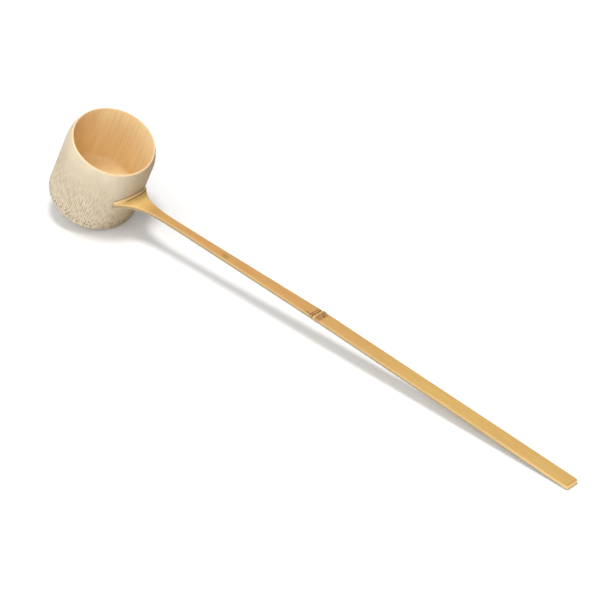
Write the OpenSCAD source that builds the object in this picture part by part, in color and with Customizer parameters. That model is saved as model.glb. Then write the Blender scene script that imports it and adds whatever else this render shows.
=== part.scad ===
// Bamboo water dipper: a cup cut from one culm section, a split bamboo handle
// that hugs the cup with a flared crescent, and the peg that locks the joint.
// It lies as it rests on a table: on the front edge of its foot and on the
// handle's tip. +X runs along the handle, +Z is up and Z = 0 is the table.

/* [Cup] */
// Outside diameter of the cup where the wall meets the rounded foot
foot_d = 57; // [48:0.1:70]
// Outside diameter of the cup where its lip begins to draw in
shoulder_d = 56.9; // [46:0.1:68]
// Height of the cup along its own axis
cup_h = 54.7; // [42:0.1:66]
// Height of the lip that draws in towards the mouth
lip_h = 10; // [5:0.5:12]
// How far the lip draws in below the bevel of the mouth
lip_draw = 1.9; // [0:0.1:2.2]
// Width of the bevel round the outside of the mouth
rim_bevel_w = 0.5; // [0.3:0.1:0.9]
// Height of the same bevel
rim_bevel_h = 1; // [0.5:0.1:3]
// Width of the flat top of the rim
rim_land = 0.5; // [0.4:0.1:1.2]
// Thickness of the wall at the floor
foot_wall = 2.6; // [1.6:0.1:4]
// How far the rounded foot draws in at the very bottom
foot_draw = 1.6; // [1:0.1:3]
// Height over which the foot draws in
foot_round_h = 4; // [3:0.1:6]
// Width of the flat ring under the foot
foot_ring_w = 2.6; // [1.5:0.1:4]
// Depth of the hollow under the floor, inside the ring
foot_hollow = 2.4; // [1:0.1:5]
// Thickness of the floor, which is the culm's own node wall
floor_t = 3.2; // [2:0.1:6]
// Depth of the dish in the floor
floor_dish = 1.2; // [0.4:0.1:2]
// Radius where the wall runs into the floor
floor_fillet = 3.5; // [1:0.1:6]

/* [Handle] */
// Length of the handle from the cup's wall to its tip
handle_len = 361; // [280:1:440]
// Thickness of the handle at the cup's wall
root_t = 3.4; // [2.6:0.1:4.5]
// Thickness of the handle at its tip
tip_t = 3.2; // [1.8:0.1:4]
// Width that the straight taper has at the cup's wall
root_w = 4.5; // [3:0.1:6]
// Width at the bamboo node
node_w = 9.1; // [6:0.1:12]
// Width at the tip
tip_w = 10.1; // [7:0.1:14]
// Distance of the bamboo node from the cup's wall
node_s = 158.5; // [110:0.5:220]
// How far the handle bends down at the node, in degrees
node_bend = 1.7; // [0:0.1:4]
// Length over which the bend is spread
bend_len = 24; // [8:1:40]
// Height of the ridge across the node
ridge_h = 0.45; // [0.1:0.05:1]
// Radius of the culm that the strip was split from, seen as its crown
culm_r = 90; // [40:1:130]
// Width of the chamfer along the strip's upper edges
edge_chamfer = 0.6; // [0.2:0.1:1]
// How far the slanted cut takes the top of the tip back
tip_slant = 0.5; // [0:0.1:4]

/* [Joint between handle and cup] */
// Height on the cup's wall where the top of the handle meets it
seat_h = 30.6; // [22:0.1:36]
// Angle between the handle and the plane of the cup's foot, in degrees
handle_rise = 20.5; // [10:0.1:26]
// Half of the width between the tips of the crescent's two horns
horn_half = 14.2; // [10:0.1:17]
// Blunt length at each horn's tip
horn_blunt = 0.5; // [0.3:0.1:1.5]
// Length in which the flare fades to about a third
flare_fade = 8.2; // [4:0.1:12]
// How far the slender point of each horn goes past the flare
horn_point = 2.4; // [0:0.1:4]
// Length in which that point fades to about a third
point_fade = 1.2; // [0.6:0.1:4]
// Height that the upper edge of the crescent runs up the cup's wall
seat_lip = 1.2; // [0:0.1:2]
// Gap between the crescent and the cup's wall
seat_gap = 0.1; // [0.05:0.05:0.4]
// Width of the tenon that goes through the wall
tenon_w = 6.4; // [4:0.1:9]
// Thickness of the tenon
tenon_t = 1.9; // [1.4:0.1:2.4]
// Length of the tenon past the inside of the wall
tenon_out = 5; // [4:0.1:9]
// Gap round the tenon and round the peg
fit_gap = 0.1; // [0.05:0.05:0.3]
// Thickness of the locking peg
peg_t = 1.5; // [1.2:0.1:2.2]
// Width of the locking peg at its thick end
peg_w = 3; // [2:0.1:4]
// Length of the locking peg
peg_len = 8; // [6:0.5:12]
// Angle of each side of the peg's taper, in degrees
peg_taper = 2; // [0:0.5:4]
// Gap between the peg and the inside of the wall
peg_gap = 0.2; // [0.1:0.05:0.5]

/* [Hidden] */
$fn = 96;
bamboo_cup = [0.87, 0.81, 0.70];
bamboo_handle = [0.86, 0.68, 0.42];
bamboo_peg = [0.80, 0.62, 0.38];

// Outline of the cup

lip_z = cup_h - lip_h;
wall_top_z = cup_h - rim_bevel_h;
wall_slope = (foot_d - shoulder_d) / 2 / (lip_z - foot_round_h);
foot_arc_r = (foot_round_h * foot_round_h + foot_draw * foot_draw) / (2 * foot_draw);
foot_edge_r = foot_d / 2 - foot_draw;
floor_z = foot_hollow + floor_t;
foot_arc_steps = 8;
lip_steps = 6;
fillet_steps = 6;
dish_steps = 8;

// Share of the lip's height that lies below a height
function lip_share(z) = max(0, (z - lip_z) / (wall_top_z - lip_z));

// Outside radius of the wall at a height, without the rounded foot
function wall_r(z) = foot_d / 2 - wall_slope * (z - foot_round_h) - lip_draw * pow(lip_share(z), 2);

rim_out_r = wall_r(wall_top_z) - rim_bevel_w;
mouth_in_r = rim_out_r - rim_land;
foot_in_r = foot_d / 2 - foot_wall;

// Inside radius of the wall at a height
function bore_r(z) = foot_in_r + (mouth_in_r - foot_in_r) * (z - floor_z) / (cup_h - floor_z);

// Height of a shallow dish of a given rim radius, depth and level at a radius
function dish_z(r, rim_r, depth, level) = level - depth * (1 - pow(r / rim_r, 2));

function foot_arc() = [
    for (i = [0:foot_arc_steps])
        let (z = foot_round_h * i / foot_arc_steps)
        [foot_d / 2 - foot_arc_r + sqrt(pow(foot_arc_r, 2) - pow(foot_round_h - z, 2)), z]
];

function lip() = [
    for (i = [0:lip_steps])
        let (z = lip_z + (wall_top_z - lip_z) * i / lip_steps)
        [wall_r(z), z]
];

function floor_corner() = [
    for (i = [0:fillet_steps])
        let (a = 90 * i / fillet_steps)
        [bore_r(floor_z) - floor_fillet * (1 - cos(a)), floor_z + floor_fillet * (1 - sin(a))]
];

function dish(rim_r, depth, level, inward) = [
    for (i = [1:dish_steps])
        let (r = rim_r * (inward ? 1 - i / dish_steps : i / dish_steps))
        [r, dish_z(r, rim_r, depth, level)]
];

hollow_r = foot_edge_r - foot_ring_w;
cup_outline = concat(
    foot_arc(),
    lip(),
    [[rim_out_r, cup_h], [mouth_in_r, cup_h]],
    floor_corner(),
    dish(bore_r(floor_z) - floor_fillet, floor_dish, floor_z, true),
    [[0, foot_hollow - floor_dish]],
    dish(hollow_r - foot_hollow / 2, floor_dish, foot_hollow, false),
    [[hollow_r, 0]]
);

// Shape of the handle, in its own frame: s runs along it, n stands on its top

rise_cos = cos(handle_rise);
rise_sin = sin(handle_rise);
seat_x = wall_r(seat_h) + seat_gap;
bend_slope = tan(node_bend);
face_steps = 5;
corner_drop = 0.7;
side_draw = 0.5;
seat_lip_reach = 0.6;
under_chamfer = 0.3;
tip_round = 1;
tip_round_len = 1.5;
tip_slant_len = 10;
ridge_ahead = 1;
ridge_reach = 1.3;
groove_share = 0.45;
groove_behind = 0.9;
groove_reach = 0.6;
node_swell = 0.6;

// How far the crown falls at a distance from the middle of the strip
function crown(y) = culm_r - sqrt(culm_r * culm_r - y * y);

// What is left, at a distance from the cup, of a flare of a given length
function fade(s, reach) = exp(-max(0, s - horn_blunt) / reach);

// A smooth hump of height 1 and a given half length
function bump(s, reach) = exp(-pow(s / reach, 2));

// Height of the ridge and of the groove before it, across the node
function ridge(s) = ridge_h * (
    bump(s - node_s - ridge_ahead, ridge_reach)
    - groove_share * bump(s - node_s + groove_behind, groove_reach)
);

function strip_t(s) = root_t + (tip_t - root_t) * s / handle_len;

function taper_w(s) = s < node_s
    ? root_w + (node_w - root_w) * s / node_s
    : node_w + (tip_w - node_w) * (s - node_s) / (handle_len - node_s);

function half_w(s) = taper_w(s) / 2
    + (horn_half - horn_point - root_w / 2) * fade(s, flare_fade)
    + horn_point * fade(s, point_fade)
    + node_swell * max(0, ridge(s))
    - tip_round * pow(max(0, 1 - (handle_len - s) / tip_round_len), 2);

// Level of the top of the strip: straight to the node, then bent down
function bend_n(s) = let (u = s - node_s + bend_len / 2)
    u < 0 ? 0 : u < bend_len ? -bend_slope * u * u / (2 * bend_len) : -bend_slope * (u - bend_len / 2);

// Place along the strip where a line of it meets the cup's wall
function seat_s(y, n, s = 0, turn = 5) = turn == 0 ? s :
    let (z = seat_h + s * rise_sin + n * rise_cos)
    seat_s(y, n, (sqrt(pow(wall_r(z) + seat_gap, 2) - y * y) - seat_x + n * rise_sin) / rise_cos, turn - 1);

// Half of the outline across the strip, from the middle of the top to the
// middle of the underside, as pairs of y and n
function half_section(s) =
    let (
        h = half_w(s),
        top_h = h - edge_chamfer,
        low_h = h - side_draw,
        under_h = low_h - under_chamfer,
        lift = ridge(s) + seat_lip * bump(s, seat_lip_reach),
        under = -strip_t(s),
        hug = fade(s, flare_fade)
    )
    concat(
        [for (i = [0:face_steps]) let (y = top_h * i / face_steps) [y, lift - crown(y)]],
        [[h, -corner_drop - crown(h)], [low_h, under + under_chamfer - crown(low_h) * hug]],
        [for (i = [face_steps:-1:0]) let (y = under_h * i / face_steps) [y, under - crown(y) * hug]]
    );

// Both halves of that outline, going round once
half_count = 2 * face_steps + 4;
ring_count = 2 * half_count - 2;
function section(s) = let (half = half_section(s)) concat(
    half,
    [for (i = [half_count - 2:-1:1]) [-half[i][0], half[i][1]]]
);

// Point of the strip in the cup's frame; near the cup the whole outline is
// drawn back so that its first ring lies on the wall
function strip_point(s, yn) =
    let (
        slant = -tip_slant * max(0, 1 - (handle_len - s) / tip_slant_len) * (1 + yn[1] / tip_t),
        back = seat_s(yn[0], yn[1]) * exp(-s / flare_fade),
        along = s + back + slant,
        n = yn[1] + bend_n(s)
    )
    [seat_x + along * rise_cos - n * rise_sin, yn[0], seat_h + along * rise_sin + n * rise_cos];

// Places of the rings along the strip, closer where the shape changes faster
flare_end = 34;
flare_steps = 17;
flare_spread = 1.7;
node_start = node_s - 6;
node_end = node_s + 7;
tip_start = handle_len - tip_round_len;
function between(from_s, to_s, steps) = [for (i = [1:steps]) from_s + (to_s - from_s) * i / steps];
stations = concat(
    [for (i = [0:flare_steps]) flare_end * pow(i / flare_steps, flare_spread)],
    between(flare_end, node_start, 9),
    between(node_start, node_end, 20),
    between(node_end, tip_start, 14),
    between(tip_start, handle_len, 3)
);

// Tilt at which the foot's front edge and the tip's lower edge are level

tip_n = bend_n(handle_len) - tip_t;
tip_low = [
    seat_x + handle_len * rise_cos - tip_n * rise_sin,
    seat_h + handle_len * rise_sin + tip_n * rise_cos
];
tilt = atan2(tip_low[1], tip_low[0] - foot_edge_r);
lift_z = foot_edge_r * sin(tilt);
back_x = (foot_arc_r - foot_d / 2) * cos(tilt) + foot_round_h * sin(tilt) - foot_arc_r;
front_x = tip_low[0] * cos(tilt) + tip_low[1] * sin(tilt);

// Rest pose: the cup's frame tilted towards the handle, with the middle of the
// whole length over the origin
module at_rest() {
    translate([-(back_x + front_x) / 2, 0, lift_z])
        rotate([0, tilt, 0])
            children();
}

module mortise_block(gap, from_s, to_s) {
    translate([seat_x, 0, seat_h])
        rotate([0, -handle_rise, 0])
            translate([from_s, -tenon_w / 2 - gap, -(root_t + tenon_t) / 2 - gap])
                cube([to_s - from_s, tenon_w + 2 * gap, tenon_t + 2 * gap]);
}

module peg_block(gap) {
    top_w = peg_w + 2 * gap;
    low_w = top_w - 2 * peg_len * tan(peg_taper);
    translate([peg_x - gap, 0, peg_z])
        rotate([90, 0, 90])
            linear_extrude(peg_t + 2 * gap)
                polygon([[-low_w / 2, 0], [low_w / 2, 0], [top_w / 2, peg_len], [-top_w / 2, peg_len]]);
}

tenon_end_s = -(wall_r(seat_h) - bore_r(seat_h) + tenon_out) / rise_cos;
tenon_root_s = 3;
mortise_past_s = 2;
peg_x = bore_r(seat_h) - peg_t - peg_gap;
peg_z = seat_h - (seat_x - peg_x) * tan(handle_rise) - root_t / 2 - peg_len / 2;

module cup() {
    color(bamboo_cup)
        at_rest()
            difference() {
                rotate_extrude()
                    polygon(cup_outline);
                mortise_block(fit_gap, tenon_end_s, mortise_past_s);
            }
}

// Faces of a ring's end, as rungs between its top and its underside
function end_faces(first, outward) = [
    for (i = [0:half_count / 2 - 2])
        for (side = [0, 1])
            let (
                top_a = side == 0 ? i : (ring_count - i) % ring_count,
                top_b = side == 0 ? i + 1 : ring_count - i - 1,
                low_a = side == 0 ? half_count - 1 - i : ring_count - (half_count - 1 - i),
                low_b = side == 0 ? half_count - 2 - i : ring_count - (half_count - 2 - i),
                face = [first + top_a, first + top_b, first + low_b, first + low_a],
                turned = side == 0 ? face : [face[3], face[2], face[1], face[0]]
            )
            outward ? turned : [turned[3], turned[2], turned[1], turned[0]]
];

module strip() {
    rings = [for (s = stations) [for (yn = section(s)) strip_point(s, yn)]];
    last = len(rings) - 1;
    skin = [
        for (i = [0:last - 1])
            for (j = [0:ring_count - 1])
                let (a = i * ring_count + j, b = i * ring_count + (j + 1) % ring_count)
                each [[a, b + ring_count, a + ring_count], [a, b, b + ring_count]]
    ];
    polyhedron(
        points = [for (ring = rings) each ring],
        faces = concat(end_faces(0, false), skin, end_faces(last * ring_count, true)),
        convexity = 6
    );
}

module handle() {
    color(bamboo_handle)
        at_rest()
            difference() {
                union() {
                    strip();
                    mortise_block(0, tenon_end_s, tenon_root_s);
                }
                peg_block(fit_gap);
            }
}

module locking_peg() {
    color(bamboo_peg)
        at_rest()
            peg_block(0);
}

cup();
handle();
locking_peg();
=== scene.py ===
import math

import bmesh
import bpy
import numpy as np
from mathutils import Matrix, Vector


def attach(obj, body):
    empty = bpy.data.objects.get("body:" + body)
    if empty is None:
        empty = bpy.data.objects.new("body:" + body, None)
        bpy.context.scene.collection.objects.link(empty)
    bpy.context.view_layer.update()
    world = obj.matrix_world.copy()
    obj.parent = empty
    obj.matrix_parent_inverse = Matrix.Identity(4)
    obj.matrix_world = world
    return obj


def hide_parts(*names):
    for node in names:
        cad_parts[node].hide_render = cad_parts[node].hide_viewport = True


# Bamboo water dipper. Lengths are in millimetres until a mesh is made; every
# mesh is then in metres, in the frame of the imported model.

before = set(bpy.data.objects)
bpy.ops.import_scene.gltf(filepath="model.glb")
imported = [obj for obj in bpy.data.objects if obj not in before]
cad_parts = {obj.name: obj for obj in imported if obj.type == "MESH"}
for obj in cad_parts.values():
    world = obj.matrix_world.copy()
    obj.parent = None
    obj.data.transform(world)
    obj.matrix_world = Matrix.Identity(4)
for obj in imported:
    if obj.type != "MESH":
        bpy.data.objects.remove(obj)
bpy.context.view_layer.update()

MM = 0.001
TURN = 2 * math.pi
SEED = 7

# Edges sharper than this, such as those of a slot, aren't shaded as round
SHARP_EDGE = math.radians(55)

# Rest pose of the cup, the same as in the part: tilt towards the handle, lift
# of its foot and shift that puts the middle of the whole length over the origin
TILT = math.radians(23.393684)
LIFT = 10.680557
SHIFT_X = 186.698792

# Cup
FOOT_R = 57.0 / 2
SHOULDER_R = 56.9 / 2
CUP_H = 54.7
LIP_H = 10.0
LIP_DRAW = 1.9
BEVEL_W = 0.5
BEVEL_H = 1.0
RIM_LAND = 0.5
FOOT_WALL = 2.6
FOOT_DRAW = 1.6
FOOT_ROUND_H = 4.0
FOOT_RING_W = 2.6
FOOT_HOLLOW = 2.4
FLOOR_T = 3.2
FLOOR_DISH = 1.2
FLOOR_FILLET = 3.5

# Handle
HANDLE_LEN = 361.0
ROOT_T = 3.4
TIP_T = 3.2
ROOT_W = 4.5
NODE_W = 9.1
TIP_W = 10.1
NODE_S = 158.5
NODE_BEND = math.radians(1.7)
BEND_LEN = 24.0
RIDGE_H = 0.45
CULM_R = 90.0
EDGE_CHAMFER = 0.6
TIP_SLANT = 0.5

# Joint between the two
SEAT_H = 30.6
RISE = math.radians(20.5)
HORN_HALF = 14.2
HORN_BLUNT = 0.5
FLARE_FADE = 8.2
HORN_POINT = 2.4
POINT_FADE = 1.2
SEAT_GAP = 0.1
# The handle's mesh stands this much further off the wall than the part does, so
# that its flat faces stay clear of the round wall
SEAT_ROOM = 0.09
TENON_W = 6.4
TENON_T = 1.9
TENON_OUT = 5.0
FIT_GAP = 0.1
PEG_T = 1.5
PEG_W = 3.0
PEG_LEN = 8.0
PEG_TAPER = math.radians(2)

# Values that follow from those
WALL_TOP = CUP_H - BEVEL_H
LIP_Z = CUP_H - LIP_H
WALL_SLOPE = (FOOT_R - SHOULDER_R) / (LIP_Z - FOOT_ROUND_H)
FOOT_ARC_R = (FOOT_ROUND_H ** 2 + FOOT_DRAW ** 2) / (2 * FOOT_DRAW)
FOOT_EDGE_R = FOOT_R - FOOT_DRAW
FLOOR_Z = FOOT_HOLLOW + FLOOR_T
FOOT_IN_R = FOOT_R - FOOT_WALL


def wall_r(z):
    """Outside radius of the cup's wall at a height, without the rounded foot."""
    share = np.maximum(0, (z - LIP_Z) / (WALL_TOP - LIP_Z))
    return FOOT_R - WALL_SLOPE * (z - FOOT_ROUND_H) - LIP_DRAW * share ** 2


RIM_OUT_R = wall_r(WALL_TOP) - BEVEL_W
MOUTH_IN_R = RIM_OUT_R - RIM_LAND


def bore_r(z):
    """Inside radius of the cup's wall at a height."""
    return FOOT_IN_R + (MOUTH_IN_R - FOOT_IN_R) * (z - FLOOR_Z) / (CUP_H - FLOOR_Z)


SEAT_X = wall_r(SEAT_H) + SEAT_GAP


def to_frame(points):
    """Points in the cup's own frame, in mm, to the frame of the model, in metres."""
    p = np.asarray(points, float)
    x = p[:, 0] * math.cos(TILT) + p[:, 2] * math.sin(TILT) - SHIFT_X
    z = -p[:, 0] * math.sin(TILT) + p[:, 2] * math.cos(TILT) + LIFT
    return np.column_stack([x, p[:, 1], z]) * MM


def smooth_step(low, high, value):
    t = np.clip((value - low) / (high - low), 0, 1)
    return t * t * (3 - 2 * t)


def lattice_noise(rng, u, v, cells_u, cells_v, wrap_u=False):
    """Smooth noise from 0 to 1 over u and v, which both run from 0 to 1."""
    grid = rng.random((cells_u + 1, cells_v + 1))
    if wrap_u:
        grid[-1] = grid[0]
    fu = np.clip(u, 0, 1) * cells_u
    fv = np.clip(v, 0, 1) * cells_v
    iu = np.minimum(fu.astype(int), cells_u - 1)
    iv = np.minimum(fv.astype(int), cells_v - 1)
    tu = fu - iu
    tv = fv - iv
    tu = tu * tu * (3 - 2 * tu)
    tv = tv * tv * (3 - 2 * tv)
    low = grid[iu, iv] * (1 - tu) + grid[iu + 1, iv] * tu
    high = grid[iu, iv + 1] * (1 - tu) + grid[iu + 1, iv + 1] * tu
    return low * (1 - tv) + high * tv


def new_object(name, points, faces):
    mesh = bpy.data.meshes.new(name)
    mesh.from_pydata([tuple(p) for p in points], [], faces)
    mesh.validate()
    mesh.polygons.foreach_set("use_smooth", [True] * len(mesh.polygons))
    mesh.update()
    piece = bpy.data.objects.new(name, mesh)
    bpy.context.scene.collection.objects.link(piece)
    return piece


def store(piece, name, values):
    """Keeps one number or one vector for each point of the mesh, for its material."""
    values = np.asarray(values, float)
    kind = "FLOAT" if values.ndim == 1 else "FLOAT_VECTOR"
    attribute = piece.data.attributes.new(name, kind, "POINT")
    attribute.data.foreach_set("value" if values.ndim == 1 else "vector", values.ravel())


def boolean(piece, other, operation):
    """Joins or cuts with another object, keeps the result and drops the other."""
    modifier = piece.modifiers.new("boolean", "BOOLEAN")
    modifier.operation = operation
    modifier.solver = "EXACT"
    modifier.object = other
    bpy.context.view_layer.update()
    graph = bpy.context.evaluated_depsgraph_get()
    mesh = bpy.data.meshes.new_from_object(piece.evaluated_get(graph))
    mesh.set_sharp_from_angle(angle=SHARP_EDGE)
    piece.modifiers.clear()
    old = piece.data
    piece.data = mesh
    bpy.data.meshes.remove(old)
    bpy.data.objects.remove(other)


# The cup is turned from an outline that runs from the foot up, over the rim and
# down inside, and from a second one underneath

ZONE_OUT = 0
ZONE_RIM = 1
ZONE_IN = 2
ZONE_UNDER = 3

CUP_COLUMNS = 640
FOOT_ROWS = 11
WALL_ROWS = 64
LIP_ROWS = 13
BORE_ROWS = 24
FILLET_ROWS = 9
DISH_ROWS = 13
HOLLOW_ROWS = 9
RIM_CORNER = 0.12
BORE_START = 0.4
MIDDLE_SHARE = 0.04


def cup_profile():
    """Rows of the cup's surface, above and underneath: radius, height and zone."""
    rows = []
    for z in np.linspace(0, FOOT_ROUND_H, FOOT_ROWS):
        r = FOOT_R - FOOT_ARC_R + math.sqrt(FOOT_ARC_R ** 2 - (FOOT_ROUND_H - z) ** 2)
        rows.append((r, z, ZONE_OUT))
    for z in np.linspace(FOOT_ROUND_H, LIP_Z, WALL_ROWS)[1:]:
        rows.append((wall_r(z), z, ZONE_OUT))
    for z in np.linspace(LIP_Z, WALL_TOP, LIP_ROWS)[1:]:
        rows.append((wall_r(z), z, ZONE_OUT))

    # The bevel outside and the narrow flat rim, with small rounds between them
    top_r = wall_r(WALL_TOP)
    for share_r, share_z in ((0.18, 0.2), (0.55, 0.6)):
        rows.append((top_r - BEVEL_W * share_r, WALL_TOP + BEVEL_H * share_z, ZONE_RIM))
    rows.append((RIM_OUT_R + 0.02, CUP_H - RIM_CORNER, ZONE_RIM))
    rows.append((RIM_OUT_R - RIM_CORNER * 0.6, CUP_H - 0.01, ZONE_RIM))
    rows.append((MOUTH_IN_R + RIM_CORNER, CUP_H, ZONE_RIM))
    rows.append((MOUTH_IN_R + 0.02, CUP_H - RIM_CORNER, ZONE_RIM))

    for z in np.linspace(CUP_H - BORE_START, FLOOR_Z + FLOOR_FILLET, BORE_ROWS):
        rows.append((bore_r(z), z, ZONE_IN))
    for a in np.linspace(0, math.pi / 2, FILLET_ROWS)[1:]:
        r = bore_r(FLOOR_Z) - FLOOR_FILLET * (1 - math.sin(math.pi / 2 - a))
        rows.append((r, FLOOR_Z + FLOOR_FILLET * (1 - math.sin(a)), ZONE_IN))
    dish_r = bore_r(FLOOR_Z) - FLOOR_FILLET
    for share in np.linspace(1, MIDDLE_SHARE, DISH_ROWS)[1:]:
        rows.append((dish_r * share, FLOOR_Z - FLOOR_DISH * (1 - share ** 2), ZONE_IN))

    hollow_r = FOOT_EDGE_R - FOOT_RING_W
    under_r = hollow_r - FOOT_HOLLOW / 2
    under = [
        (FOOT_EDGE_R - 0.3, 0.0, ZONE_UNDER),
        (hollow_r, 0.0, ZONE_UNDER),
        (under_r + 0.3, FOOT_HOLLOW * 0.8, ZONE_UNDER),
    ]
    for share in np.linspace(1, MIDDLE_SHARE, HOLLOW_ROWS):
        z = FOOT_HOLLOW - FLOOR_DISH * (1 - share ** 2)
        under.append((under_r * share, z, ZONE_UNDER))
    return rows, under


# Scraping strokes stand in upright lines around the cup. Each pair of numbers is
# the range that a random value is drawn from
STROKE_LINES = 128
STROKE_JITTER = 0.13
STROKE_START = (1.5, 5.0)
STROKE_REACH = (28, 44)
STROKE_LOW_END = 9
STROKE_HALF_LOW = (1.4, 2.6)
STROKE_HALF_HIGH = (3.0, 5.6)
STROKE_HALF_W = (0.3, 0.4)
STROKE_GAP = (0.0, 0.9)
STROKE_SHARE = (0.5, 1.0)
STROKE_LEAN = 0.03
STROKE_FADE = (22, 42)
STROKE_FADED = 0.85
STROKE_DEPTH = 0.18

# Rows of dark pits near the foot: height, number in the row and size
PIT_ROWS = ((2.3, 78, 0.5), (4.5, 72, 0.62), (7.2, 60, 0.5))
PIT_MISSING = 0.16
PIT_JITTER = 0.32
PIT_RISE = 0.55
PIT_HALF_W = (0.7, 1.25)
PIT_HALF_L = (1.0, 2.0)
PIT_SHARE = (0.45, 1.0)
PIT_DEPTH = 0.32

# Unevenness of the scraped wall and of the bore: cells around and up, and depth
FACET_CELLS = (46, 5)
FACET_DEPTH = 0.10
FINE_CELLS = (210, 14)
FINE_DEPTH = 0.05
SCRAPED_FADE = (30, 52)
BORE_CELLS = (150, 3)
BORE_DEPTH = 0.06


def add_mark(grid, z, at, height, half_w, half_l, depth, lean=0.0):
    """Adds one long, round-bottomed mark to a grid of rows up and columns around.

    at is its angle, height its middle, and lean its slope to the side."""
    rows = np.where(np.abs(z - height) <= half_l)[0]
    if not len(rows):
        return
    count = grid.shape[1]
    step = TURN / count
    middle = int(round(at / step))
    reach = int(math.ceil(half_w * 2.2 / FOOT_R / step))
    columns = np.arange(middle - reach, middle + reach + 1)
    dz = (z[rows] - height)[:, None]
    dx = (columns * TURN / count - at)[None, :] * FOOT_R - lean * dz
    across = np.clip(1 - (dx / half_w) ** 2, 0, 1)
    along = np.clip(1 - (dz / half_l) ** 2, 0, 1)
    place = np.ix_(rows, columns % count)
    grid[place] = np.maximum(grid[place], depth * (across * along))


def cup_marks(rng, z):
    """Scraping strokes and pits on the outside of the cup, as two grids of 0 to 1.

    z is the height of each row."""
    strokes = np.zeros((len(z), CUP_COLUMNS))
    pits = np.zeros((len(z), CUP_COLUMNS))

    for i in range(STROKE_LINES):
        height = rng.uniform(*STROKE_START)
        reach = rng.uniform(*STROKE_REACH)
        while height < reach:
            lengths = STROKE_HALF_LOW if height < STROKE_LOW_END else STROKE_HALF_HIGH
            half_l = rng.uniform(*lengths)
            height += half_l
            at = (i + rng.uniform(-STROKE_JITTER, STROKE_JITTER)) * TURN / STROKE_LINES
            kept = 1 - STROKE_FADED * smooth_step(*STROKE_FADE, height)
            depth = rng.uniform(*STROKE_SHARE) * kept
            half_w = rng.uniform(*STROKE_HALF_W)
            lean = rng.uniform(-STROKE_LEAN, STROKE_LEAN)
            add_mark(strokes, z, at, height, half_w, half_l, depth, lean)
            height += half_l + rng.uniform(*STROKE_GAP)

    for row_z, count, size in PIT_ROWS:
        for i in range(count):
            if rng.random() < PIT_MISSING:
                continue
            at = (i + rng.uniform(-PIT_JITTER, PIT_JITTER)) * TURN / count
            height = row_z + rng.uniform(-PIT_RISE, PIT_RISE)
            half_w = size * rng.uniform(*PIT_HALF_W)
            half_l = size * rng.uniform(*PIT_HALF_L)
            add_mark(pits, z, at, height, half_w, half_l, rng.uniform(*PIT_SHARE))
    return strokes, pits


def around(phi, z):
    """Place around the cup and up it, both from 0 to 1, for each row and column."""
    u = np.repeat((phi / TURN)[None, :], len(z), axis=0)
    v = np.repeat((z / CUP_H)[:, None], CUP_COLUMNS, axis=1)
    return u, v


def build_cup():
    rng = np.random.default_rng(SEED)
    rows, under = cup_profile()
    profile = rows + under[::-1]
    profile_r = np.array([r for r, _, _ in profile])
    profile_z = np.array([z for _, z, _ in profile])
    zones = np.array([zone for _, _, zone in profile])
    radius = np.repeat(profile_r[:, None], CUP_COLUMNS, axis=1)
    height = np.repeat(profile_z[:, None], CUP_COLUMNS, axis=1)
    # Columns stand half a step off the middle plane: with one in it, the cut for the
    # slot leaves an edge with four faces
    phi = (np.arange(CUP_COLUMNS) + 0.5) * TURN / CUP_COLUMNS

    outside = np.where(zones == ZONE_OUT)[0]
    z_out = profile_z[outside]
    strokes, pits = cup_marks(rng, z_out)
    u, v = around(phi, z_out)
    facets = lattice_noise(rng, u, v, *FACET_CELLS, True)
    fine = lattice_noise(rng, u, v, *FINE_CELLS, True)
    scraped = 1 - smooth_step(*SCRAPED_FADE, z_out)[:, None]
    above_edge = smooth_step(0, 1.2, z_out)[:, None]
    depth = STROKE_DEPTH * strokes + PIT_DEPTH * pits * above_edge
    depth += FACET_DEPTH * facets * (0.3 + 0.7 * scraped)
    depth += FINE_DEPTH * fine * scraped
    radius[outside] -= depth

    inside = np.where(zones == ZONE_IN)[0]
    u, v = around(phi, profile_z[inside])
    walls = (profile_r[inside] > FOOT_IN_R - 1.5)[:, None]
    grain = lattice_noise(rng, u, v, *BORE_CELLS, True)
    radius[inside] += BORE_DEPTH * (grain - 0.5) * walls

    stroke_marks = np.zeros_like(radius)
    stroke_marks[outside] = strokes
    pit_marks = np.zeros_like(radius)
    pit_marks[outside] = pits
    points = np.column_stack([
        (radius * np.cos(phi)[None, :]).ravel(),
        (radius * np.sin(phi)[None, :]).ravel(),
        height.ravel(),
    ])
    centres = [[0, 0, FLOOR_Z - FLOOR_DISH], [0, 0, FOOT_HOLLOW - FLOOR_DISH]]
    top_centre = len(points)
    low_centre = top_centre + 1
    points = np.vstack([points, centres])

    faces = []
    last_above = len(rows) - 1
    for i in range(len(profile)):
        if i == last_above:
            continue
        here = i * CUP_COLUMNS
        following = (i + 1) % len(profile) * CUP_COLUMNS
        for k in range(CUP_COLUMNS):
            m = (k + 1) % CUP_COLUMNS
            faces.append((here + k, here + m, following + m, following + k))
    top_ring = last_above * CUP_COLUMNS
    low_ring = len(rows) * CUP_COLUMNS
    for k in range(CUP_COLUMNS):
        m = (k + 1) % CUP_COLUMNS
        faces.append((top_ring + k, top_ring + m, top_centre))
        faces.append((low_ring + m, low_ring + k, low_centre))

    cup = new_object("cup_turned", to_frame(points), faces)
    zone_of = np.append(np.repeat(zones, CUP_COLUMNS), [ZONE_IN, ZONE_UNDER])
    store(cup, "cup_mm", points)
    store(cup, "strokes", np.append(stroke_marks.ravel(), [0, 0]))
    store(cup, "pits", np.append(pit_marks.ravel(), [0, 0]))
    store(cup, "inner", (zone_of == ZONE_IN).astype(float))
    store(cup, "rim", (zone_of == ZONE_RIM).astype(float))
    return cup


# The handle, in its own frame: s runs along it and n stands on its top

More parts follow.
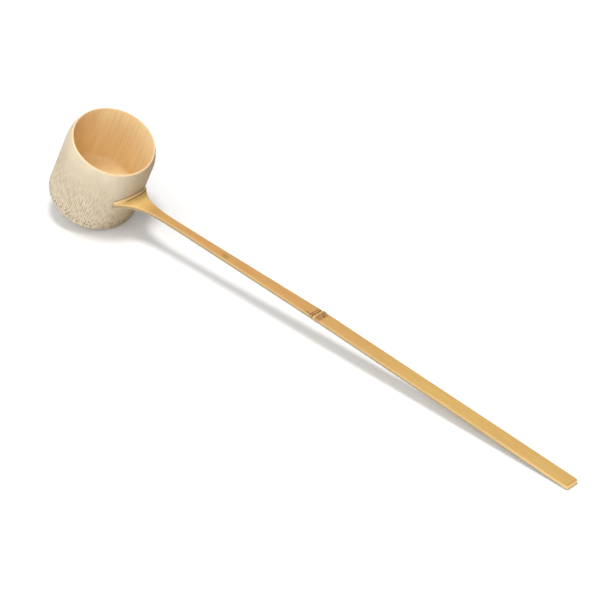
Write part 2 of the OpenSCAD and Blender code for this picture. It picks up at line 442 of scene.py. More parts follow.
CORNER_DROP = 0.7
SIDE_DRAW = 0.5
UNDER_CHAMFER = 0.3
TIP_ROUND = 1.0
TIP_ROUND_LEN = 1.5
TIP_SLANT_LEN = 10.0
TIP_IN_SIDE = 0.2
TIP_IN_UP = 0.35
RIDGE_AHEAD = 1.0
RIDGE_W = 1.3
GROOVE_BEHIND = 0.9
GROOVE_W = 0.6
GROOVE_SHARE = 0.45
NODE_SWELL = 0.6

# Points of its outline, and the rounding of the corners from the top edge down
TOP_POINTS = 15
TOP_SHARE = 0.93
LOW_POINTS = 9
FLAT_SHARE = 0.9
CORNER_ROUNDS = (0.16, 0.3, 0.3, 0.2)
ROUND_SHARE = 0.45

# The crescent's lip and gentle rise: height, what it loses on the side away from
# the eye, and reach along the strip. SEAT_SIDES is where that loss starts and ends
SEAT_LIP_H = 1.9
SEAT_LIP_LESS = 1.6
SEAT_LIP_REACH = 0.6
SEAT_RISE_H = 0.8
SEAT_RISE_REACH = 2.2
SEAT_SIDES = (-2, 13)


def crown(y):
    """How much the strip's round top has dropped at a distance from its middle."""
    return CULM_R - np.sqrt(CULM_R ** 2 - y * y)


def fade(s, reach):
    """Falls from 1 at the crescent's blunt end to 0 along the strip."""
    return math.exp(-max(0.0, s - HORN_BLUNT) / reach)


def ridge(s):
    """Height of the ridge and of the groove before it, across the node."""
    hump = math.exp(-((s - NODE_S - RIDGE_AHEAD) / RIDGE_W) ** 2)
    groove = math.exp(-((s - NODE_S + GROOVE_BEHIND) / GROOVE_W) ** 2)
    return RIDGE_H * (hump - GROOVE_SHARE * groove)


def half_w(s):
    """Half of the strip's width, with its flare, node and rounded tip."""
    if s < NODE_S:
        width = ROOT_W + (NODE_W - ROOT_W) * s / NODE_S
    else:
        width = NODE_W + (TIP_W - NODE_W) * (s - NODE_S) / (HANDLE_LEN - NODE_S)
    flare = (HORN_HALF - HORN_POINT - ROOT_W / 2) * fade(s, FLARE_FADE)
    point = HORN_POINT * fade(s, POINT_FADE)
    tip = TIP_ROUND * max(0.0, 1 - (HANDLE_LEN - s) / TIP_ROUND_LEN) ** 2
    return width / 2 + flare + point + NODE_SWELL * max(0.0, ridge(s)) - tip


def bend_n(s):
    """Drop of the strip past the slight bend at its node."""
    u = s - NODE_S + BEND_LEN / 2
    slope = math.tan(NODE_BEND)
    if u < 0:
        return 0.0
    if u < BEND_LEN:
        return -slope * u * u / (2 * BEND_LEN)
    return -slope * (u - BEND_LEN / 2)


def seat_s(y, n):
    """Place along the strip where a line of it meets the cup's wall."""
    s = 0.0
    for _ in range(5):
        z = SEAT_H + s * math.sin(RISE) + n * math.cos(RISE)
        reach = math.sqrt((wall_r(z) + SEAT_GAP + SEAT_ROOM) ** 2 - y * y)
        s = (reach - SEAT_X + n * math.sin(RISE)) / math.cos(RISE)
    return s


def strip_t(s):
    return ROOT_T + (TIP_T - ROOT_T) * s / HANDLE_LEN


def rounded(corner, before, after, radius):
    """Three points that round a corner between its two neighbours."""
    a = np.array(before) - corner
    b = np.array(after) - corner
    a = corner + a / np.linalg.norm(a) * min(radius, np.linalg.norm(a) * ROUND_SHARE)
    b = corner + b / np.linalg.norm(b) * min(radius, np.linalg.norm(b) * ROUND_SHARE)
    return [a, (a + b + 2 * np.array(corner)) / 4, b]


def half_outline(s):
    """Half of the strip's outline, from the middle of its top to below."""
    h = half_w(s)
    top_h = h - EDGE_CHAMFER
    low_h = h - SIDE_DRAW
    under_h = low_h - UNDER_CHAMFER
    under = -strip_t(s)
    hug = fade(s, FLARE_FADE)
    lift = ridge(s)
    corners = [
        np.array([top_h, lift - crown(top_h)]),
        np.array([h, -CORNER_DROP - crown(h)]),
        np.array([low_h, under + UNDER_CHAMFER - crown(low_h) * hug]),
        np.array([under_h, under - crown(under_h) * hug]),
    ]
    flat_top = top_h * FLAT_SHARE
    flat_low = under_h * FLAT_SHARE
    inner_top = np.array([flat_top, lift - crown(flat_top)])
    inner_low = np.array([flat_low, under - crown(flat_low) * hug])
    chain = [inner_top] + corners + [inner_low]
    points = [
        np.array([y, lift - crown(y)])
        for y in np.linspace(0, top_h * TOP_SHARE, TOP_POINTS)
    ]
    for i, radius in enumerate(CORNER_ROUNDS, 1):
        points += rounded(chain[i], chain[i - 1], chain[i + 1], radius)
    points += [
        np.array([y, under - crown(y) * hug])
        for y in np.linspace(flat_low, 0, LOW_POINTS)
    ]
    if s > HANDLE_LEN - 0.1:
        middle = np.array([0.0, under / 2])
        shrink = np.array([1 - TIP_IN_SIDE / h, 1 - TIP_IN_UP / strip_t(s)])
        points = [middle + (p - middle) * shrink for p in points]
    return points


def seat_lift(s, y):
    """Rise of the crescent's top towards the cup, and the lip at its very edge.

    Both are lower on the side away from the eye, as they are in the photo."""
    side = smooth_step(*SEAT_SIDES, y)
    lip = (SEAT_LIP_H - SEAT_LIP_LESS * side) * math.exp(-(s / SEAT_LIP_REACH) ** 2)
    return lip + SEAT_RISE_H * (1 - side) * math.exp(-(s / SEAT_RISE_REACH) ** 2)


def strip_point(s, y, n):
    """A point of the strip, from the strip's own frame to the cup's, in mm."""
    slant = -TIP_SLANT * max(0.0, 1 - (HANDLE_LEN - s) / TIP_SLANT_LEN) * (1 + n / TIP_T)
    back = seat_s(y, n) * math.exp(-s / FLARE_FADE)
    along = s + back + slant
    level = n + bend_n(s)
    return (
        SEAT_X + along * math.cos(RISE) - level * math.sin(RISE),
        y,
        SEAT_H + along * math.sin(RISE) + level * math.cos(RISE),
    )


# The stretch with the flare, where stations stand closer towards the cup, and the
# ends and counts of the stretches after it: strip, node, strip and tip
FLARE_LEN = 40
FLARE_STEPS = 64
FLARE_CROWDING = 1.9
STRETCHES = (
    (FLARE_LEN, NODE_S - 8, 64),
    (NODE_S - 8, NODE_S + 9, 86),
    (NODE_S + 9, HANDLE_LEN - 3, 96),
    (HANDLE_LEN - 3, HANDLE_LEN - 0.25, 11),
)
LAST_STATION = HANDLE_LEN - 0.03


def handle_stations():
    """Places along the strip where an outline stands, closer together at details."""
    stations = [
        FLARE_LEN * (i / FLARE_STEPS) ** FLARE_CROWDING
        for i in range(FLARE_STEPS + 1)
    ]
    for start, end, count in STRETCHES:
        stations += list(np.linspace(start, end, count)[1:])
    return stations + [LAST_STATION]


# Marks on the top of the handle: place along it, place across it, half length,
# half width, strength
HANDLE_SPOTS = (
    (80.5, -0.9, 2.2, 1.2, 0.5),
    (162.3, 0.6, 0.9, 0.65, 1.0),
    (160.3, 1.7, 0.5, 0.5, 0.6),
    (160.6, 4.3, 2.4, 0.6, 0.9),
    (163.0, 2.4, 0.6, 0.45, 0.6),
    (162.7, -1.6, 0.6, 0.4, 0.55),
    (159.3, -0.4, 0.4, 0.4, 0.5),
    (162.0, -3.3, 0.6, 0.4, 0.5),
    (159.6, 2.2, 0.45, 0.5, 0.55),
    (160.4, -2.9, 0.6, 0.5, 0.6),
    (160.2, -1.2, 0.5, 0.45, 0.6),
    (161.6, -2.0, 0.6, 0.4, 0.5),
    (161.1, 1.0, 0.5, 0.4, 0.5),
    (160.9, 2.6, 0.5, 0.4, 0.45),
    (153.4, -3.5, 2.6, 0.35, 0.8),
    (152.2, -3.2, 0.6, 0.4, 0.7),
    (155.9, -2.8, 0.6, 0.5, 0.8),
    (360.4, -3.4, 0.35, 0.5, 0.6),
    (360.4, -1.5, 0.3, 0.6, 0.45),
    (360.4, 0.9, 0.3, 0.5, 0.5),
    (360.4, 2.9, 0.35, 0.5, 0.6),
)

# Dark lines across the top: place along it, half width and strength. The first one
# is the contact with the cup, and shows only between two places across
SEAT_LINE = (1.15, 0.35, 0.75)
SEAT_LINE_ENDS = (-7, 13)
SCAR_LINE = (155.2, 0.32, 0.9)
SCAR_GROOVE = (156.9, 0.4, 1.0)

# Marks and grain stay on the top: lowest level of the marks, cells of the grain
# along and across, and depths of grain and marks
DARK_LEVEL = -1.6
GRAIN_HALF_W = 16
GROOVE_CELLS = (16, 90)
GROOVE_DEPTH = 0.07
THREAD_CELLS = (40, 130)
THREAD_DEPTH = 0.05
DARK_DEPTH = 0.16


def node_wander(y):
    """How the lines across the node wander along the strip."""
    return 0.22 * math.sin(y * 0.9 + 0.6) + 0.12 * math.sin(y * 2.3)


def dark_line(s, line, wander=0.0):
    place, half, strength = line
    return strength * math.exp(-((s - place - wander) / half) ** 2)


def handle_dark(s, y):
    """How dark a point of the handle's top is, from 0 to 1."""
    wander = node_wander(y)
    value = max(dark_line(s, SCAR_LINE, wander), dark_line(s, SCAR_GROOVE, wander))
    if SEAT_LINE_ENDS[0] < y < SEAT_LINE_ENDS[1]:
        value = max(value, dark_line(s, SEAT_LINE))
    for at_s, at_y, half_l, half_y, strength in HANDLE_SPOTS:
        d = ((s - at_s) / half_l) ** 2 + ((y - at_y) / half_y) ** 2
        value = max(value, strength * math.exp(-d))
    return value


def build_handle():
    rng = np.random.default_rng(SEED + 1)
    stations = handle_stations()
    coordinates = []
    dark = []
    for s in stations:
        half = half_outline(s)
        ring = half + [np.array([-y, n]) for y, n in half[-2:0:-1]]
        for y, n in ring:
            coordinates.append((s, y, n))
            dark.append(handle_dark(s, y) if n + crown(y) > DARK_LEVEL else 0.0)
    coordinates = np.array(coordinates)
    dark = np.array(dark)
    s, y, n = coordinates.T
    u = s / HANDLE_LEN
    v = (y + GRAIN_HALF_W) / (2 * GRAIN_HALF_W)
    grooves = lattice_noise(rng, u, v, *GROOVE_CELLS)
    threads = lattice_noise(rng, u, v, *THREAD_CELLS)
    clear = smooth_step(2, 8, s) * (1 - smooth_step(HANDLE_LEN - 3, HANDLE_LEN - 0.5, s))
    level = n + crown(y)
    top = smooth_step(-CORNER_DROP, -0.2, level)
    grain = GROOVE_DEPTH * grooves + THREAD_DEPTH * threads
    sunk = grain * clear * top + DARK_DEPTH * dark * top
    lifted = smooth_step(-2.0, -CORNER_DROP, level)
    raised = [seat_lift(a, b) * share for a, b, share in zip(s, y, lifted)]
    placed = [
        strip_point(a, b, c - d + e)
        for (a, b, c), d, e in zip(coordinates, sunk, raised)
    ]
    size = len(ring)
    faces = []
    for i in range(len(stations) - 1):
        here = i * size
        following = here + size
        for j in range(size):
            k = (j + 1) % size
            faces.append((here + j, here + k, following + k, following + j))
    # Each end is closed by upright strips, from the points of the top to those below
    # them, because the root's end is curved like the cup's wall
    last = (len(stations) - 1) * size
    bottom = size // 2
    for i in range(bottom // 2):
        near = (i, i + 1, bottom - i - 1, bottom - i)
        far = tuple((size - q) % size for q in near[::-1])
        for quad in (near, far):
            faces.append(quad[::-1])
            faces.append(tuple(last + q for q in quad))
    handle = new_object("handle_split", to_frame(placed), faces)
    store(handle, "strip_mm", np.column_stack([s, y, level]))
    store(handle, "dark", dark * smooth_step(-1.4, -0.9, level))
    return handle


BLOCK_FACES = (
    (0, 3, 2, 1),
    (4, 5, 6, 7),
    (0, 1, 5, 4),
    (1, 2, 6, 5),
    (2, 3, 7, 6),
    (3, 0, 4, 7),
)
BLOCK_PROFILE = 0.6


def bevelled_block(name, corners, bevel, segments=2):
    """A block with eight corners, in the cup's frame in mm, with rounded edges."""
    mesh = bmesh.new()
    verts = [mesh.verts.new(tuple(p)) for p in to_frame(corners)]
    for quad in BLOCK_FACES:
        mesh.faces.new([verts[i] for i in quad])
    bmesh.ops.recalc_face_normals(mesh, faces=mesh.faces)
    if bevel:
        bmesh.ops.bevel(
            mesh,
            geom=list(mesh.edges),
            offset=bevel * MM,
            segments=segments,
            profile=BLOCK_PROFILE,
            affect="EDGES",
        )
    data = bpy.data.meshes.new(name)
    mesh.to_mesh(data)
    mesh.free()
    piece = bpy.data.objects.new(name, data)
    bpy.context.scene.collection.objects.link(piece)
    return piece


# The tenon runs from TENON_END, inside the cup, to TENON_ROOT, within the strip. The
# peg stands close to the wall and upright in the cup's frame
TENON_END = -(wall_r(SEAT_H) - bore_r(SEAT_H) + TENON_OUT) / math.cos(RISE)
TENON_ROOT = 3.0
TENON_BEVEL = 0.25
PEG_CLEAR = 0.1
PEG_BEVEL = 0.18
PEG_X = bore_r(SEAT_H) - PEG_T - FIT_GAP - PEG_CLEAR
PEG_Z = SEAT_H - (SEAT_X - PEG_X) * math.tan(RISE) - ROOT_T / 2 - PEG_LEN / 2


def tenon_corners(gap):
    """Corners of the tenon or, with a gap, of its mortise."""
    middle = -ROOT_T / 2
    corners = []
    for n in (middle - TENON_T / 2 - gap, middle + TENON_T / 2 + gap):
        for s, y in (
            (TENON_END, -1), (TENON_ROOT, -1), (TENON_ROOT, 1), (TENON_END, 1),
        ):
            corners.append((
                SEAT_X + s * math.cos(RISE) - n * math.sin(RISE),
                y * (TENON_W / 2 + gap),
                SEAT_H + s * math.sin(RISE) + n * math.cos(RISE),
            ))
    return corners


def peg_corners(gap):
    """Corners of the peg or, with a gap, of its slot."""
    top = PEG_W / 2 + gap
    low = top - PEG_LEN * math.tan(PEG_TAPER)
    corners = []
    for x in (PEG_X - gap, PEG_X + PEG_T + gap):
        for y, z in ((-low, 0), (low, 0), (top, PEG_LEN), (-top, PEG_LEN)):
            corners.append((x, y, PEG_Z + z))
    return corners


# Materials


def rgb(red, green, blue):
    """A colour given in 0 to 255 of the usual display scale, as linear values."""
    out = []
    for value in (red, green, blue):
        c = value / 255
        out.append(c / 12.92 if c <= 0.04045 else ((c + 0.055) / 1.055) ** 2.4)
    return (*out, 1.0)


class Nodes:
    """Short names for making the nodes of one material."""

    def __init__(self, name):
        self.material = bpy.data.materials.new(name)
        self.material.use_nodes = True
        self.tree = self.material.node_tree
        self.shader = self.tree.nodes["Principled BSDF"]

    def add(self, kind, **inputs):
        node = self.tree.nodes.new(kind)
        for key, value in inputs.items():
            self.put(node.inputs[key.replace("_", " ")], value)
        return node

    def put(self, socket, value):
        if isinstance(value, bpy.types.NodeSocket):
            self.tree.links.new(value, socket)
        else:
            socket.default_value = value

    def attribute(self, name):
        node = self.tree.nodes.new("ShaderNodeAttribute")
        node.attribute_name = name
        return node

    def math(self, operation, a, b=0.0, clamp=False):
        node = self.tree.nodes.new("ShaderNodeMath")
        node.operation = operation
        node.use_clamp = clamp
        self.put(node.inputs[0], a)
        self.put(node.inputs[1], b)
        return node.outputs[0]

    def stretch(self, vector, scale):
        node = self.tree.nodes.new("ShaderNodeVectorMath")
        node.operation = "MULTIPLY"
        self.put(node.inputs[0], vector)
        node.inputs[1].default_value = scale
        return node.outputs[0]

    def noise(self, vector, scale, detail=2.0, roughness=0.5):
        node = self.add("ShaderNodeTexNoise", Scale=scale, Detail=detail, Roughness=roughness)
        self.put(node.inputs["Vector"], vector)
        return node.outputs["Fac"]

    def remap(self, value, low, high, to_low=0.0, to_high=1.0):
        node = self.tree.nodes.new("ShaderNodeMapRange")
        node.clamp = True
        node.inputs["From Min"].default_value = low
        node.inputs["From Max"].default_value = high
        node.inputs["To Min"].default_value = to_low
        node.inputs["To Max"].default_value = to_high
        self.put(node.inputs["Value"], value)
        return node.outputs["Result"]

    def mix(self, factor, a, b):
        node = self.tree.nodes.new("ShaderNodeMix")
        node.data_type = "RGBA"
        self.put(node.inputs["Factor"], factor)
        self.put(node.inputs[6], a)
        self.put(node.inputs[7], b)
        return node.outputs[2]

    def bump(self, height, strength, distance):
        node = self.add("ShaderNodeBump", Strength=strength, Distance=distance)
        self.put(node.inputs["Height"], height)
        return node.outputs["Normal"]


# Colours of the cup outside, of its bore and of its rim
CUP_PALE = rgb(205, 192, 169)
CUP_WARM = rgb(197, 182, 155)
# Painted shade: a darker brown for the side of the cup turned to the camera's right
CUP_RIGHT_PAINTED_SHADE = rgb(150, 126, 92)
# Painted shade for the upper part of the cup's left side
CUP_SHADED = rgb(172, 153, 122)
CUP_FIBRE = rgb(166, 145, 114)
CUP_HAIR = rgb(154, 131, 99)
CUP_STROKE = rgb(126, 102, 74)
CUP_FOOT = rgb(198, 178, 146)
CUP_PIT = rgb(78, 56, 36)
BORE_PALE = rgb(241, 218, 172)
BORE_WARM = rgb(232, 202, 150)
BORE_GRAIN = rgb(214, 176, 121)
# Painted shade for the left wall inside the cup
BORE_PAINTED_SHADE = rgb(212, 156, 94)
RIM_CUT = rgb(222, 191, 151)


def cup_material():
    m = Nodes("scraped_bamboo_cup")
    place = m.attribute("cup_mm").outputs["Vector"]
    split = m.add("ShaderNodeSeparateXYZ", Vector=place)
    z = split.outputs["Z"]
    strokes = m.attribute("strokes").outputs["Fac"]
    pits = m.attribute("pits").outputs["Fac"]
    inner = m.attribute("inner").outputs["Fac"]
    rim = m.attribute("rim").outputs["Fac"]

    fibre = m.noise(m.stretch(place, (1.0, 1.0, 0.22)), 1.2, 3.0, 0.6)
    hair = m.noise(m.stretch(place, (1.0, 1.0, 0.1)), 3.6, 2.0, 0.5)
    patch = m.noise(m.stretch(place, (1.0, 1.0, 0.6)), 0.09, 2.0, 0.5)
    low = m.remap(z, 46.0, 10.0)

    side = m.add("ShaderNodeVectorMath")
    side.operation = "DOT_PRODUCT"
    m.put(side.inputs[0], place)
    side.inputs[1].default_value = (0.8 / FOOT_R, 0.6 / FOOT_R, 0.0)
    # Painted shade, strongest on the side of the cup turned to the camera's right
    right_shade = m.remap(side.outputs["Value"], 0.25, 1.05, 0.0, 0.95)
    # Painted shade on the upper part of the cup's left side
    shaded = m.remap(side.outputs["Value"], -0.35, -0.95, 0.0, 0.3)
    shaded = m.math("MULTIPLY", shaded, m.remap(z, 15.0, 35.0))

    outside = m.mix(m.remap(patch, 0.35, 0.7), CUP_PALE, CUP_WARM)
    outside = m.mix(right_shade, outside, CUP_RIGHT_PAINTED_SHADE)
    outside = m.mix(shaded, outside, CUP_SHADED)
    streak = m.math("MULTIPLY", m.remap(fibre, 0.5, 0.66), m.remap(low, 0.0, 1.0, 0.14, 0.45))
    outside = m.mix(streak, outside, CUP_FIBRE)
    streak = m.math("MULTIPLY", m.remap(hair, 0.55, 0.75), m.remap(low, 0.0, 1.0, 0.08, 0.4))
    outside = m.mix(streak, outside, CUP_HAIR)
    outside = m.mix(m.math("MULTIPLY", strokes, 0.9, True), outside, CUP_STROKE)
    outside = m.mix(m.remap(z, 2.2, 0.5, 0.0, 0.45), outside, CUP_FOOT)
    outside = m.mix(m.math("MULTIPLY", pits, 1.3, True), outside, CUP_PIT)

    grain = m.noise(m.stretch(place, (1.0, 1.0, 0.03)), 1.15, 3.0, 0.55)
    fine = m.noise(m.stretch(place, (1.0, 1.0, 0.05)), 4.2, 2.0, 0.5)
    inside = m.mix(m.remap(grain, 0.35, 0.68), BORE_PALE, BORE_WARM)
    inside = m.mix(m.remap(fine, 0.55, 0.75, 0.0, 0.35), inside, BORE_GRAIN)
    # Painted shade on the left wall of the bore
    bore_shade = m.remap(side.outputs["Value"], -0.3, -0.9, 0.0, 0.6)
    inside = m.mix(bore_shade, inside, BORE_PAINTED_SHADE)
    colour = m.mix(inner, outside, inside)
    colour = m.mix(rim, colour, RIM_CUT)

    m.put(m.shader.inputs["Base Color"], colour)
    m.put(m.shader.inputs["Roughness"], m.remap(fibre, 0.3, 0.7, 0.55, 0.72))
    m.shader.inputs["Specular IOR Level"].default_value = 0.28
    height = m.math("ADD", m.math("MULTIPLY", fibre, 0.6), m.math("MULTIPLY", hair, 0.4))
    m.put(m.shader.inputs["Normal"], m.bump(height, 0.35, 0.00025))
    return m.material


# Colours of the handle
SKIN_ROOT = rgb(177, 133, 76)
SKIN_ROOT_WARM = rgb(184, 141, 82)
SKIN_TIP = rgb(189, 154, 88)
SKIN_TIP_WARM = rgb(184, 148, 83)
# Painted light for the flare next to the cup, which lies in the cup's shade
SKIN_FLARE_PAINTED_LIGHT = rgb(224, 188, 118)
SKIN_GRAIN = rgb(170, 123, 67)
SKIN_THREAD = rgb(160, 113, 60)
# Painted shade for the far chamfer and painted light for the near chamfer
EDGE_FAR_PAINTED_SHADE = rgb(138, 108, 64)
EDGE_NEAR_PAINTED_LIGHT = rgb(192, 161, 112)
# Painted shade for the side of the strip below the chamfer
SIDE_PAINTED_SHADE = rgb(158, 138, 97)
# Painted light for the side of the strip near the tip
SIDE_TIP_PAINTED_LIGHT = rgb(216, 180, 122)
TIP_CUT = rgb(226, 186, 130)
UNDERSIDE = rgb(188, 165, 125)
NODE_BROWN = rgb(148, 108, 64)
NODE_LIGHT = rgb(205, 172, 120)
SEAT_EDGE = rgb(222, 186, 132)
DARK_MARK = rgb(60, 36, 14)


def handle_material():
    m = Nodes("split_bamboo_handle")
    place = m.attribute("strip_mm").outputs["Vector"]
    split = m.add("ShaderNodeSeparateXYZ", Vector=place)
    s = split.outputs["X"]
    y = split.outputs["Y"]
    n = split.outputs["Z"]
    dark = m.attribute("dark").outputs["Fac"]

    grain = m.noise(m.stretch(place, (0.012, 1.0, 1.0)), 1.5, 3.0, 0.55)
    fine = m.noise(m.stretch(place, (0.03, 1.0, 1.0)), 5.0, 2.0, 0.5)
    patch = m.noise(m.stretch(place, (0.05, 0.3, 0.3)), 1.0, 2.0, 0.5)

    root = m.mix(m.remap(patch, 0.3, 0.7), SKIN_ROOT, SKIN_ROOT_WARM)
    tip = m.mix(m.remap(patch, 0.3, 0.7), SKIN_TIP, SKIN_TIP_WARM)
    colour = m.mix(m.remap(s, 150.0, 250.0), root, tip)
    # Painted light: the flare near the cup is made lighter against the shade that the cup's
    # rim casts on it
    colour = m.mix(m.remap(s, 18.0, 4.0, 0.0, 0.95), colour, SKIN_FLARE_PAINTED_LIGHT)
    colour = m.mix(m.remap(grain, 0.5, 0.72, 0.0, 0.5), colour, SKIN_GRAIN)
    colour = m.mix(m.remap(fine, 0.55, 0.75, 0.0, 0.3), colour, SKIN_THREAD)
    # Painted light and shade on the chamfers: lighter on the near side, darker on the far
    # side
    near = m.remap(y, 1.0, -1.0)
    chamfer = m.math("MULTIPLY", m.remap(n, -0.2, -0.5), m.remap(near, 0.0, 1.0, 0.95, 0.85))
    colour = m.mix(chamfer, colour, m.mix(near, EDGE_FAR_PAINTED_SHADE, EDGE_NEAR_PAINTED_LIGHT))
    # Painted shade on the side below the chamfer
    colour = m.mix(m.remap(n, -0.95, -1.25), colour, SIDE_PAINTED_SHADE)
    # Painted light: towards the tip the side is made lighter, over its painted shade
    tip_side_light = m.math("MULTIPLY", m.remap(s, 290.0, 345.0), m.remap(n, -2.3, -1.7))
    tip_side_light = m.math("MULTIPLY", tip_side_light, m.remap(n, -0.4, -0.7))
    colour = m.mix(tip_side_light, colour, SIDE_TIP_PAINTED_LIGHT)
    near_tip = m.remap(s, HANDLE_LEN - 1.2, HANDLE_LEN - 0.4)
    end = m.math("MULTIPLY", near_tip, m.remap(n, -2.7, -2.2))
    end = m.math("MULTIPLY", end, m.remap(n, -0.2, -0.5))
    colour = m.mix(end, colour, TIP_CUT)
    under = m.remap(n, -2.4, -3.0)
    colour = m.mix(under, colour, UNDERSIDE)

    zone_start = m.remap(s, 158.9, 159.6)
    zone_end = m.remap(s, 163.8, 162.8)
    zone = m.math("MULTIPLY", zone_start, zone_end)
    top = m.remap(n, -1.0, -0.4)
    zone = m.math("MULTIPLY", zone, top)
    zone = m.math("MULTIPLY", zone, m.remap(fine, 0.35, 0.65, 0.55, 1.0))
    colour = m.mix(zone, colour, NODE_BROWN)
    light_start = m.remap(s, 157.5, 157.9)
    light_end = m.remap(s, 159.0, 158.7)
    light = m.math("MULTIPLY", m.math("MULTIPLY", light_start, light_end), 0.7)
    colour = m.mix(light, colour, NODE_LIGHT)
    lip = m.math("MULTIPLY", m.remap(s, 1.1, 0.6), m.remap(n, -1.2, -0.6))
    colour = m.mix(m.math("MULTIPLY", lip, 0.8), colour, SEAT_EDGE)
    colour = m.mix(dark, colour, DARK_MARK)

    m.put(m.shader.inputs["Base Color"], colour)
    m.put(m.shader.inputs["Roughness"], m.remap(grain, 0.3, 0.7, 0.42, 0.56))
    m.shader.inputs["Specular IOR Level"].default_value = 0.35
    m.put(m.shader.inputs["Normal"], m.bump(m.math("ADD", grain, fine), 0.25, 0.0002))
    return m.material


# Colours of the peg
PEG_PALE = rgb(214, 170, 110)
PEG_DARK = rgb(186, 138, 82)
PEG_THREAD = rgb(160, 112, 62)


def peg_material():
    m = Nodes("peg_bamboo")
    place = m.add("ShaderNodeTexCoord").outputs["Object"]
    grain = m.noise(m.stretch(place, (1800.0, 1800.0, 90.0)), 1.0, 3.0, 0.5)
    fine = m.noise(m.stretch(place, (5200.0, 5200.0, 300.0)), 1.0, 2.0, 0.5)
    colour = m.mix(m.remap(grain, 0.35, 0.7), PEG_PALE, PEG_DARK)
    colour = m.mix(m.remap(fine, 0.55, 0.75, 0.0, 0.5), colour, PEG_THREAD)
    m.put(m.shader.inputs["Base Color"], colour)
    m.put(m.shader.inputs["Roughness"], m.remap(grain, 0.3, 0.7, 0.5, 0.65))
    m.put(m.shader.inputs["Normal"], m.bump(fine, 0.3, 0.0001))
    return m.material


def floor_material():
    m = Nodes("floor_paint")
    m.shader.inputs["Base Color"].default_value = FLOOR_COLOUR
    m.shader.inputs["Roughness"].default_value = 0.9
    m.shader.inputs["Specular IOR Level"].default_value = 0.1
    return m.material


def finish_piece(piece, material, node):
    piece.data.materials.clear()
    piece.data.materials.append(material)
    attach(piece, "root")
    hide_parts(node)


# Pieces

cup = build_cup()
mortise = bevelled_block("mortise_cut", tenon_corners(FIT_GAP), 0)
boolean(cup, mortise, "DIFFERENCE")
finish_piece(cup, cup_material(), "cup")

handle = build_handle()
tenon = bevelled_block("tenon_block", tenon_corners(0.0), TENON_BEVEL)
boolean(handle, tenon, "UNION")
slot_cut = bevelled_block("slot_cut", peg_corners(FIT_GAP), 0)
boolean(handle, slot_cut, "DIFFERENCE")
finish_piece(handle, handle_material(), "handle")

peg = bevelled_block("peg_split", peg_corners(0.0), PEG_BEVEL, 3)
for polygon in peg.data.polygons:
    polygon.use_smooth = True
finish_piece(peg, peg_material(), "locking_peg")

# Camera at the photo's angle: turned around the object and raised by so much,
# looking at a point near the middle of the handle
CAMERA_TURN = math.radians(44.267)
CAMERA_RISE = math.radians(36.139)
CAMERA_FAR = 2500.0
PIXELS_PER_MM = 1.673
PHOTO_SIZE = 600
SENSOR = 36.0
AIM = np.array([180.0 - SHIFT_X, 0.0, 20.0])
AIM_RIGHT = 1.213 / PIXELS_PER_MM
AIM_UP = 1.525 / PIXELS_PER_MM

right = np.array([math.cos(CAMERA_TURN), math.sin(CAMERA_TURN), 0.0])
back = np.array([
    math.cos(CAMERA_RISE) * math.sin(CAMERA_TURN),
    -math.cos(CAMERA_RISE) * math.cos(CAMERA_TURN),
    math.sin(CAMERA_RISE),
])
up = np.cross(back, right)
aim = AIM + right * AIM_RIGHT + up * AIM_UP
front = Vector((back[0], back[1], 0)).normalized()

# Floor

FLOOR_HALF = 4.0
FLOOR_COLOUR = rgb(228, 228, 228)

floor_corners = [
    (x * FLOOR_HALF, y * FLOOR_HALF, 0)
    for x, y in ((-1, -1), (1, -1), (1, 1), (-1, 1))
]
floor = new_object("floor", floor_corners, [(0, 1, 2, 3)])
floor.data.materials.append(floor_material())

# Light. Distances and sizes are in metres, and left and front are the photo's own
LIGHT_AIM = (0, 0, 0.02)
KEY_LEFT = 0.04
KEY_FRONT = 0.04
KEY_FAR = 1.6
KEY_SIZE = 0.44
KEY_POWER = 15.6
KEY_COLOUR = (1.0, 0.99, 0.97)
FILL_FAR = 3.0
FILL_SIZE = 1.1
FILL_POWER = 20.0
FILL_COLOUR = (1.0, 1.0, 1.0)
SKY_LEFT = 0.75
SKY_FRONT = 0.65
SKY_WEAK = 0.05
SKY_STRONG = 1.5
SKY_SEEN = 0.85
SKY_COLOUR = (0.985, 0.995, 1.0, 1.0)


def area_light(name, position, size, energy, colour):
    """A round light that looks at the object."""
    data = bpy.data.lights.new(name, "AREA")
    data.shape = "DISK"
    data.size = size
    data.energy = energy
    data.color = colour
    lamp = bpy.data.objects.new(name, data)
    lamp.location = position
    towards = Vector(LIGHT_AIM) - Vector(position)
    lamp.rotation_euler = towards.to_track_quat("-Z", "Y").to_euler()
    bpy.context.scene.collection.objects.link(lamp)


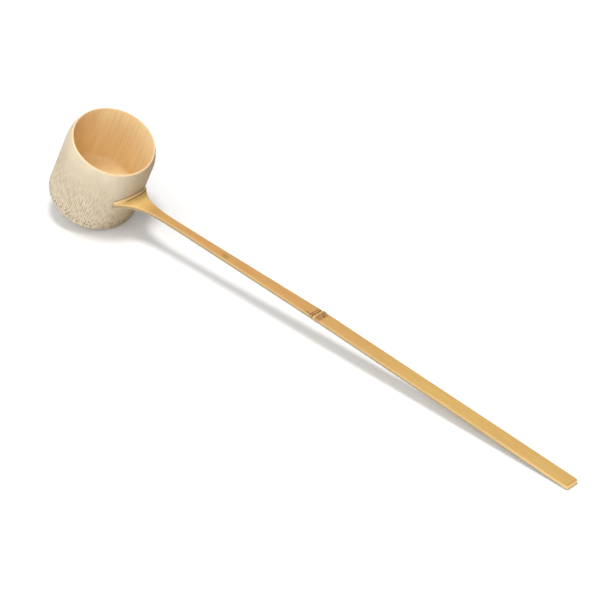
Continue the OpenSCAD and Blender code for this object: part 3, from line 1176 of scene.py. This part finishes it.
key_place = Vector(right) * -KEY_LEFT + front * KEY_FRONT
key_place = (key_place + Vector((0, 0, 1))).normalized() * KEY_FAR
area_light("key", key_place, KEY_SIZE, KEY_POWER, KEY_COLOUR)
area_light("fill", Vector(back) * FILL_FAR, FILL_SIZE, FILL_POWER, FILL_COLOUR)


def studio_sky(towards):
    """White light from everywhere, stronger from one side and weaker from the other.

    Where it is seen behind the floor's edge, it is one plain pale tone."""
    world = bpy.data.worlds.new("studio")
    world.use_nodes = True
    tree = world.node_tree
    place = tree.nodes.new("ShaderNodeTexCoord")
    dot = tree.nodes.new("ShaderNodeVectorMath")
    dot.operation = "DOT_PRODUCT"
    tree.links.new(place.outputs["Generated"], dot.inputs[0])
    dot.inputs[1].default_value = towards
    ramp = tree.nodes.new("ShaderNodeMapRange")
    ramp.inputs["From Min"].default_value = -1.0
    ramp.inputs["From Max"].default_value = 1.0
    ramp.inputs["To Min"].default_value = SKY_WEAK
    ramp.inputs["To Max"].default_value = SKY_STRONG
    tree.links.new(dot.outputs["Value"], ramp.inputs["Value"])
    background = tree.nodes["Background"]
    background.inputs["Color"].default_value = SKY_COLOUR
    seen = tree.nodes.new("ShaderNodeLightPath")
    blend = tree.nodes.new("ShaderNodeMix")
    tree.links.new(seen.outputs["Is Camera Ray"], blend.inputs["Factor"])
    tree.links.new(ramp.outputs["Result"], blend.inputs["A"])
    blend.inputs["B"].default_value = SKY_SEEN
    tree.links.new(blend.outputs["Result"], background.inputs["Strength"])
    return world


sky_side = (Vector(right) * -SKY_LEFT + front * SKY_FRONT).normalized()
bpy.context.scene.world = studio_sky(sky_side)

# Camera

camera_data = bpy.data.cameras.new("camera")
camera_data.sensor_width = SENSOR
camera_data.lens = PIXELS_PER_MM * CAMERA_FAR / PHOTO_SIZE * SENSOR
camera_data.clip_end = 20.0
camera = bpy.data.objects.new("camera", camera_data)
camera.location = Vector((aim + back * CAMERA_FAR) * MM)
camera.rotation_euler = Vector(back).to_track_quat("Z", "Y").to_euler()
bpy.context.scene.collection.objects.link(camera)
bpy.context.scene.camera = camera

bpy.context.scene.view_settings.view_transform = "Standard"
